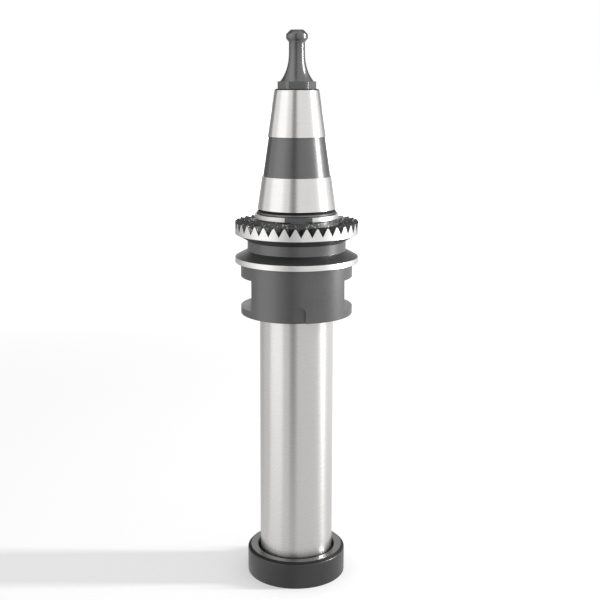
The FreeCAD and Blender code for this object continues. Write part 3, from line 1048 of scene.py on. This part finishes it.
class HOLDER_OT_screw(bpy.types.Operator):
    """Build the countersunk clamp screw with its thread and hexagon socket"""
    bl_idname = "holder.screw"
    bl_label = "Clamp screw"

    def execute(self, context):
        clamp = context.scene.holder_clamp
        finish = context.scene.holder_finish
        black = black_oxide("screw_black", finish, finish.black, finish.black_rough)
        shank, head = radii(clamp, "shank", "head")
        core = shank - clamp.thread_pitch * THREAD_DEPTH
        socket = clamp.socket_across
        foot_z = clamp.head_z
        rim_z = foot_z + clamp.head_rim
        cone_z = rim_z + head - shank
        thread_z = cone_z + clamp.thread_start
        ease = clamp.ease

        # The socket's rings are wider than its corners, so that its flats cut them to the hexagon
        outline = Outline(0.0, foot_z + clamp.socket_depth).run(
            (socket, foot_z + clamp.socket_depth, 0, 0.0, socket),
            (socket, foot_z, 0, 0.0, socket),
            (head, foot_z, 0, ease),
            (head, rim_z, 0, ease),
            (shank, cone_z, 0),
            (shank, thread_z, 0, ease),
            (core, thread_z, 0),
            (core, clamp.tip_z - clamp.tip_chamfer, 0),
            (core - clamp.tip_chamfer / 2, clamp.tip_z, 0),
            (0.0, clamp.tip_z, 0))
        piece = lathe("screw", outline, [black])
        smooth(piece)
        turns = (clamp.tip_z - thread_z) / clamp.thread_pitch - 1
        add_thread(piece, shank, clamp.thread_pitch, thread_z, turns, black)
        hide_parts("clamp_screw")
        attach(piece, "screw")
        return {"FINISHED"}


class HOLDER_OT_pins(bpy.types.Operator):
    """Build the two ground drive pins"""
    bl_idname = "holder.pins"
    bl_label = "Drive pins"

    def execute(self, context):
        clamp = context.scene.holder_clamp
        finish = context.scene.holder_finish
        steel = bare_steel("pins_ground", finish, finish.ground)
        radius, circle = radii(clamp, "pin", "pin_circle")
        ease = clamp.ease * 2
        outline = Outline(0.0, clamp.pin_foot_z).run(
            (radius, clamp.pin_foot_z, 0, ease),
            (radius, clamp.pin_top_z, 0, ease),
            (0.0, clamp.pin_top_z, 0))
        piece = lathe("pins", outline, [steel])
        piece.data.transform(Matrix.Translation((circle, 0, 0)))
        smooth(piece)
        grow(piece, ring_tree(), count=clamp.pin_count, turn=0.0, weld=TINY, skin_radius=clamp.cap_dia,
             skin=steel, body=steel)
        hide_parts("drive_pins")
        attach(piece, "arbor")
        return {"FINISHED"}


# Studio round the object. Each part has its direction from the front to the right, its half width and its soft edge
# in degrees, then its change to the brightness of the walls and of the floor that the object mirrors.
# The floor column paints light and shade on the floor's glow that only reflections see, such as the lamp's light on
# the floor to the right
SURROUND_PARTS = (
    (-13.0, 6.0, 8.0, -0.73, -0.36),    # dark gap at the camera
    (-67.5, 22.0, 5.0, 0.42, 0.46),     # bright wall on the left
    (118.0, 46.0, 10.0, 0.0, 0.28),     # bright floor on the right
    (-144.0, 20.0, 6.0, -0.75, -0.12),  # dark flag behind on the left
    (146.0, 18.0, 6.0, -0.65, 0.0),     # dark flag behind on the right
)
WALLS, FLOOR = 3, 4  # places of the two changes in a part


def toward(turn):
    """Level direction at an angle from the front, to the right."""
    return Vector((math.sin(turn), -math.cos(turn), 0.0))


def surround(sheet, direction, place):
    """Change to the brightness of the studio's walls or floor in a direction, by its angle round the object."""
    flat = sheet.vector("NORMALIZE", sheet.vector("MULTIPLY", direction, LEVEL))
    brightness = 0.0
    for part in SURROUND_PARTS:
        middle, half, soft = part[:3]
        facing = sheet.vector("DOT_PRODUCT", flat, toward(math.radians(middle)), "Value")
        edge = math.cos(math.radians(half + soft))
        full = math.cos(math.radians(max(half - soft, 0.0)))
        brightness = sheet.between(facing, edge, full) * part[place] + brightness
    return brightness


def ray_is(sheet, kind):
    """1 for rays of a kind, such as Is Camera Ray."""
    return sheet.add("ShaderNodeLightPath", output=kind)


def make_world(stage):
    """White world for the camera, studio walls for what the object mirrors, and an even light for the rest."""
    world = bpy.data.worlds.new("studio")
    bpy.context.scene.world = world
    sheet = shading_sheet(world)
    direction = sheet.add("ShaderNodeTexCoord", output="Generated")
    studio = surround(sheet, direction, WALLS) + stage.walls
    seen = ray_is(sheet, "Is Camera Ray")
    mirrored = ray_is(sheet, "Is Glossy Ray")
    strength = seen + mirrored * studio + (1 - seen - mirrored) * stage.fill
    background = sheet.add("ShaderNodeBackground", None, {"Color": WHITE, "Strength": strength})
    sheet.add("ShaderNodeOutputWorld", None, {"Surface": background})


def floor_material(stage):
    """Pale matt floor: a glow that only the camera sees brings it up to white, and the object mirrors a glow of the
    studio with light and shade painted on it, faded at the foot as a painted shadow.
    """
    material = bpy.data.materials.new("pale_floor")
    sheet = shading_sheet(material)
    place = sheet.place()
    reach = sheet.vector("LENGTH", place, output="Value")
    glow = sheet.between(reach, stage.glow_start, stage.glow_end) * stage.far_glow + stage.floor_glow
    matt = sheet.add("ShaderNodeBsdfDiffuse", None, {"Color": rgba(stage.floor_colour)})
    lit = sheet.add("ShaderNodeAddShader", None, {0: matt, 1: sheet.emission(ray_is(sheet, "Is Camera Ray") * glow)})
    # Painted shadow: the mirrored floor's light and shade fade towards the object's foot, where its shadow lies
    foot_shadow_fade = sheet.between(reach, 0.0, stage.foot_reach) * stage.foot_shade + (1 - stage.foot_shade)
    studio = surround(sheet, place, FLOOR) * foot_shadow_fade + stage.floor_mirrored
    surface = sheet.add("ShaderNodeMixShader", None,
                        {0: ray_is(sheet, "Is Glossy Ray"), 1: lit, 2: sheet.emission(studio)})
    sheet.add("ShaderNodeOutputMaterial", None, {"Surface": surface})
    return material


def make_floor(stage):
    """Round floor under the object."""
    shape = bmesh.new()
    bmesh.ops.create_circle(shape, cap_ends=True, segments=FLOOR_STEPS, radius=stage.floor_radius)
    floor = as_object("floor", shape, [floor_material(stage)])


def make_camera(stage):
    """Camera of the photograph's view."""
    data = bpy.data.cameras.new("view")
    data.sensor_fit = "HORIZONTAL"
    data.sensor_width = stage.frame_width
    data.lens = stage.focal
    data.shift_x = stage.shift_x
    data.shift_y = stage.shift_y
    place = toward(stage.azimuth) * stage.distance
    place.z = stage.height
    yaw = Matrix.Rotation(stage.azimuth, 4, "Z")
    tilt = Matrix.Rotation(math.radians(90) - stage.pitch, 4, "X")
    roll = Matrix.Rotation(stage.roll, 4, "Z")
    bpy.context.scene.camera = stand("view", data, Matrix.Translation(place) @ yaw @ tilt @ roll)


def make_lamp(stage):
    """Tall strip lamp on the right."""
    data = bpy.data.lights.new("strip_lamp", "AREA")
    data.shape = "RECTANGLE"
    data.size = stage.lamp_width
    data.size_y = stage.lamp_height
    data.energy = stage.lamp_power
    away = toward(stage.lamp_azimuth) * math.cos(stage.lamp_elevation)
    away.z = math.sin(stage.lamp_elevation)
    aim = away.to_track_quat("Z", "Y").to_matrix().to_4x4()
    stand("strip_lamp", data, Matrix.Translation(away * stage.lamp_distance) @ aim)


class HOLDER_OT_stage(bpy.types.Operator):
    """Set up the floor, the camera and the light"""
    bl_idname = "holder.stage"
    bl_label = "Stage"

    def execute(self, context):
        stage = context.scene.holder_stage
        context.scene.view_settings.view_transform = "Standard"
        make_camera(stage)
        make_floor(stage)
        make_lamp(stage)
        make_world(stage)
        return {"FINISHED"}


class HOLDER_PT_panel(bpy.types.Panel):
    """Buttons that build the tool holder, piece by piece"""
    bl_label = "Tool holder"
    bl_idname = "HOLDER_PT_panel"
    bl_space_type = "VIEW_3D"
    bl_region_type = "UI"
    bl_category = "Tool holder"

    def draw(self, context):
        for operator in OPERATORS:
            self.layout.operator(operator.bl_idname)


PROPERTIES = {
    "holder_arbor": HolderArbor,
    "holder_crown": HolderCrown,
    "holder_stud": HolderStud,
    "holder_clamp": HolderClamp,
    "holder_finish": HolderFinish,
    "holder_stage": HolderStage,
}
OPERATORS = (HOLDER_OT_stage, HOLDER_OT_arbor, HOLDER_OT_crown, HOLDER_OT_stud, HOLDER_OT_cap, HOLDER_OT_screw,
             HOLDER_OT_pins)


def register():
    """Registers the classes and puts the settings on the scene."""
    for item in (*PROPERTIES.values(), *OPERATORS, HOLDER_PT_panel):
        bpy.utils.register_class(item)
    for name, group in PROPERTIES.items():
        setattr(bpy.types.Scene, name, bpy.props.PointerProperty(type=group))


def unregister():
    """Takes the settings and the classes away again."""
    for name in PROPERTIES:
        delattr(bpy.types.Scene, name)
    for item in (HOLDER_PT_panel, *OPERATORS, *PROPERTIES.values()):
        bpy.utils.unregister_class(item)


def main():
    """Builds the stage and every piece."""
    register()
    bpy.ops.holder.stage()
    bpy.ops.holder.arbor()
    bpy.ops.holder.crown()
    bpy.ops.holder.stud()
    bpy.ops.holder.cap()
    bpy.ops.holder.screw()
    bpy.ops.holder.pins()


if __name__ == "__main__":
    main()
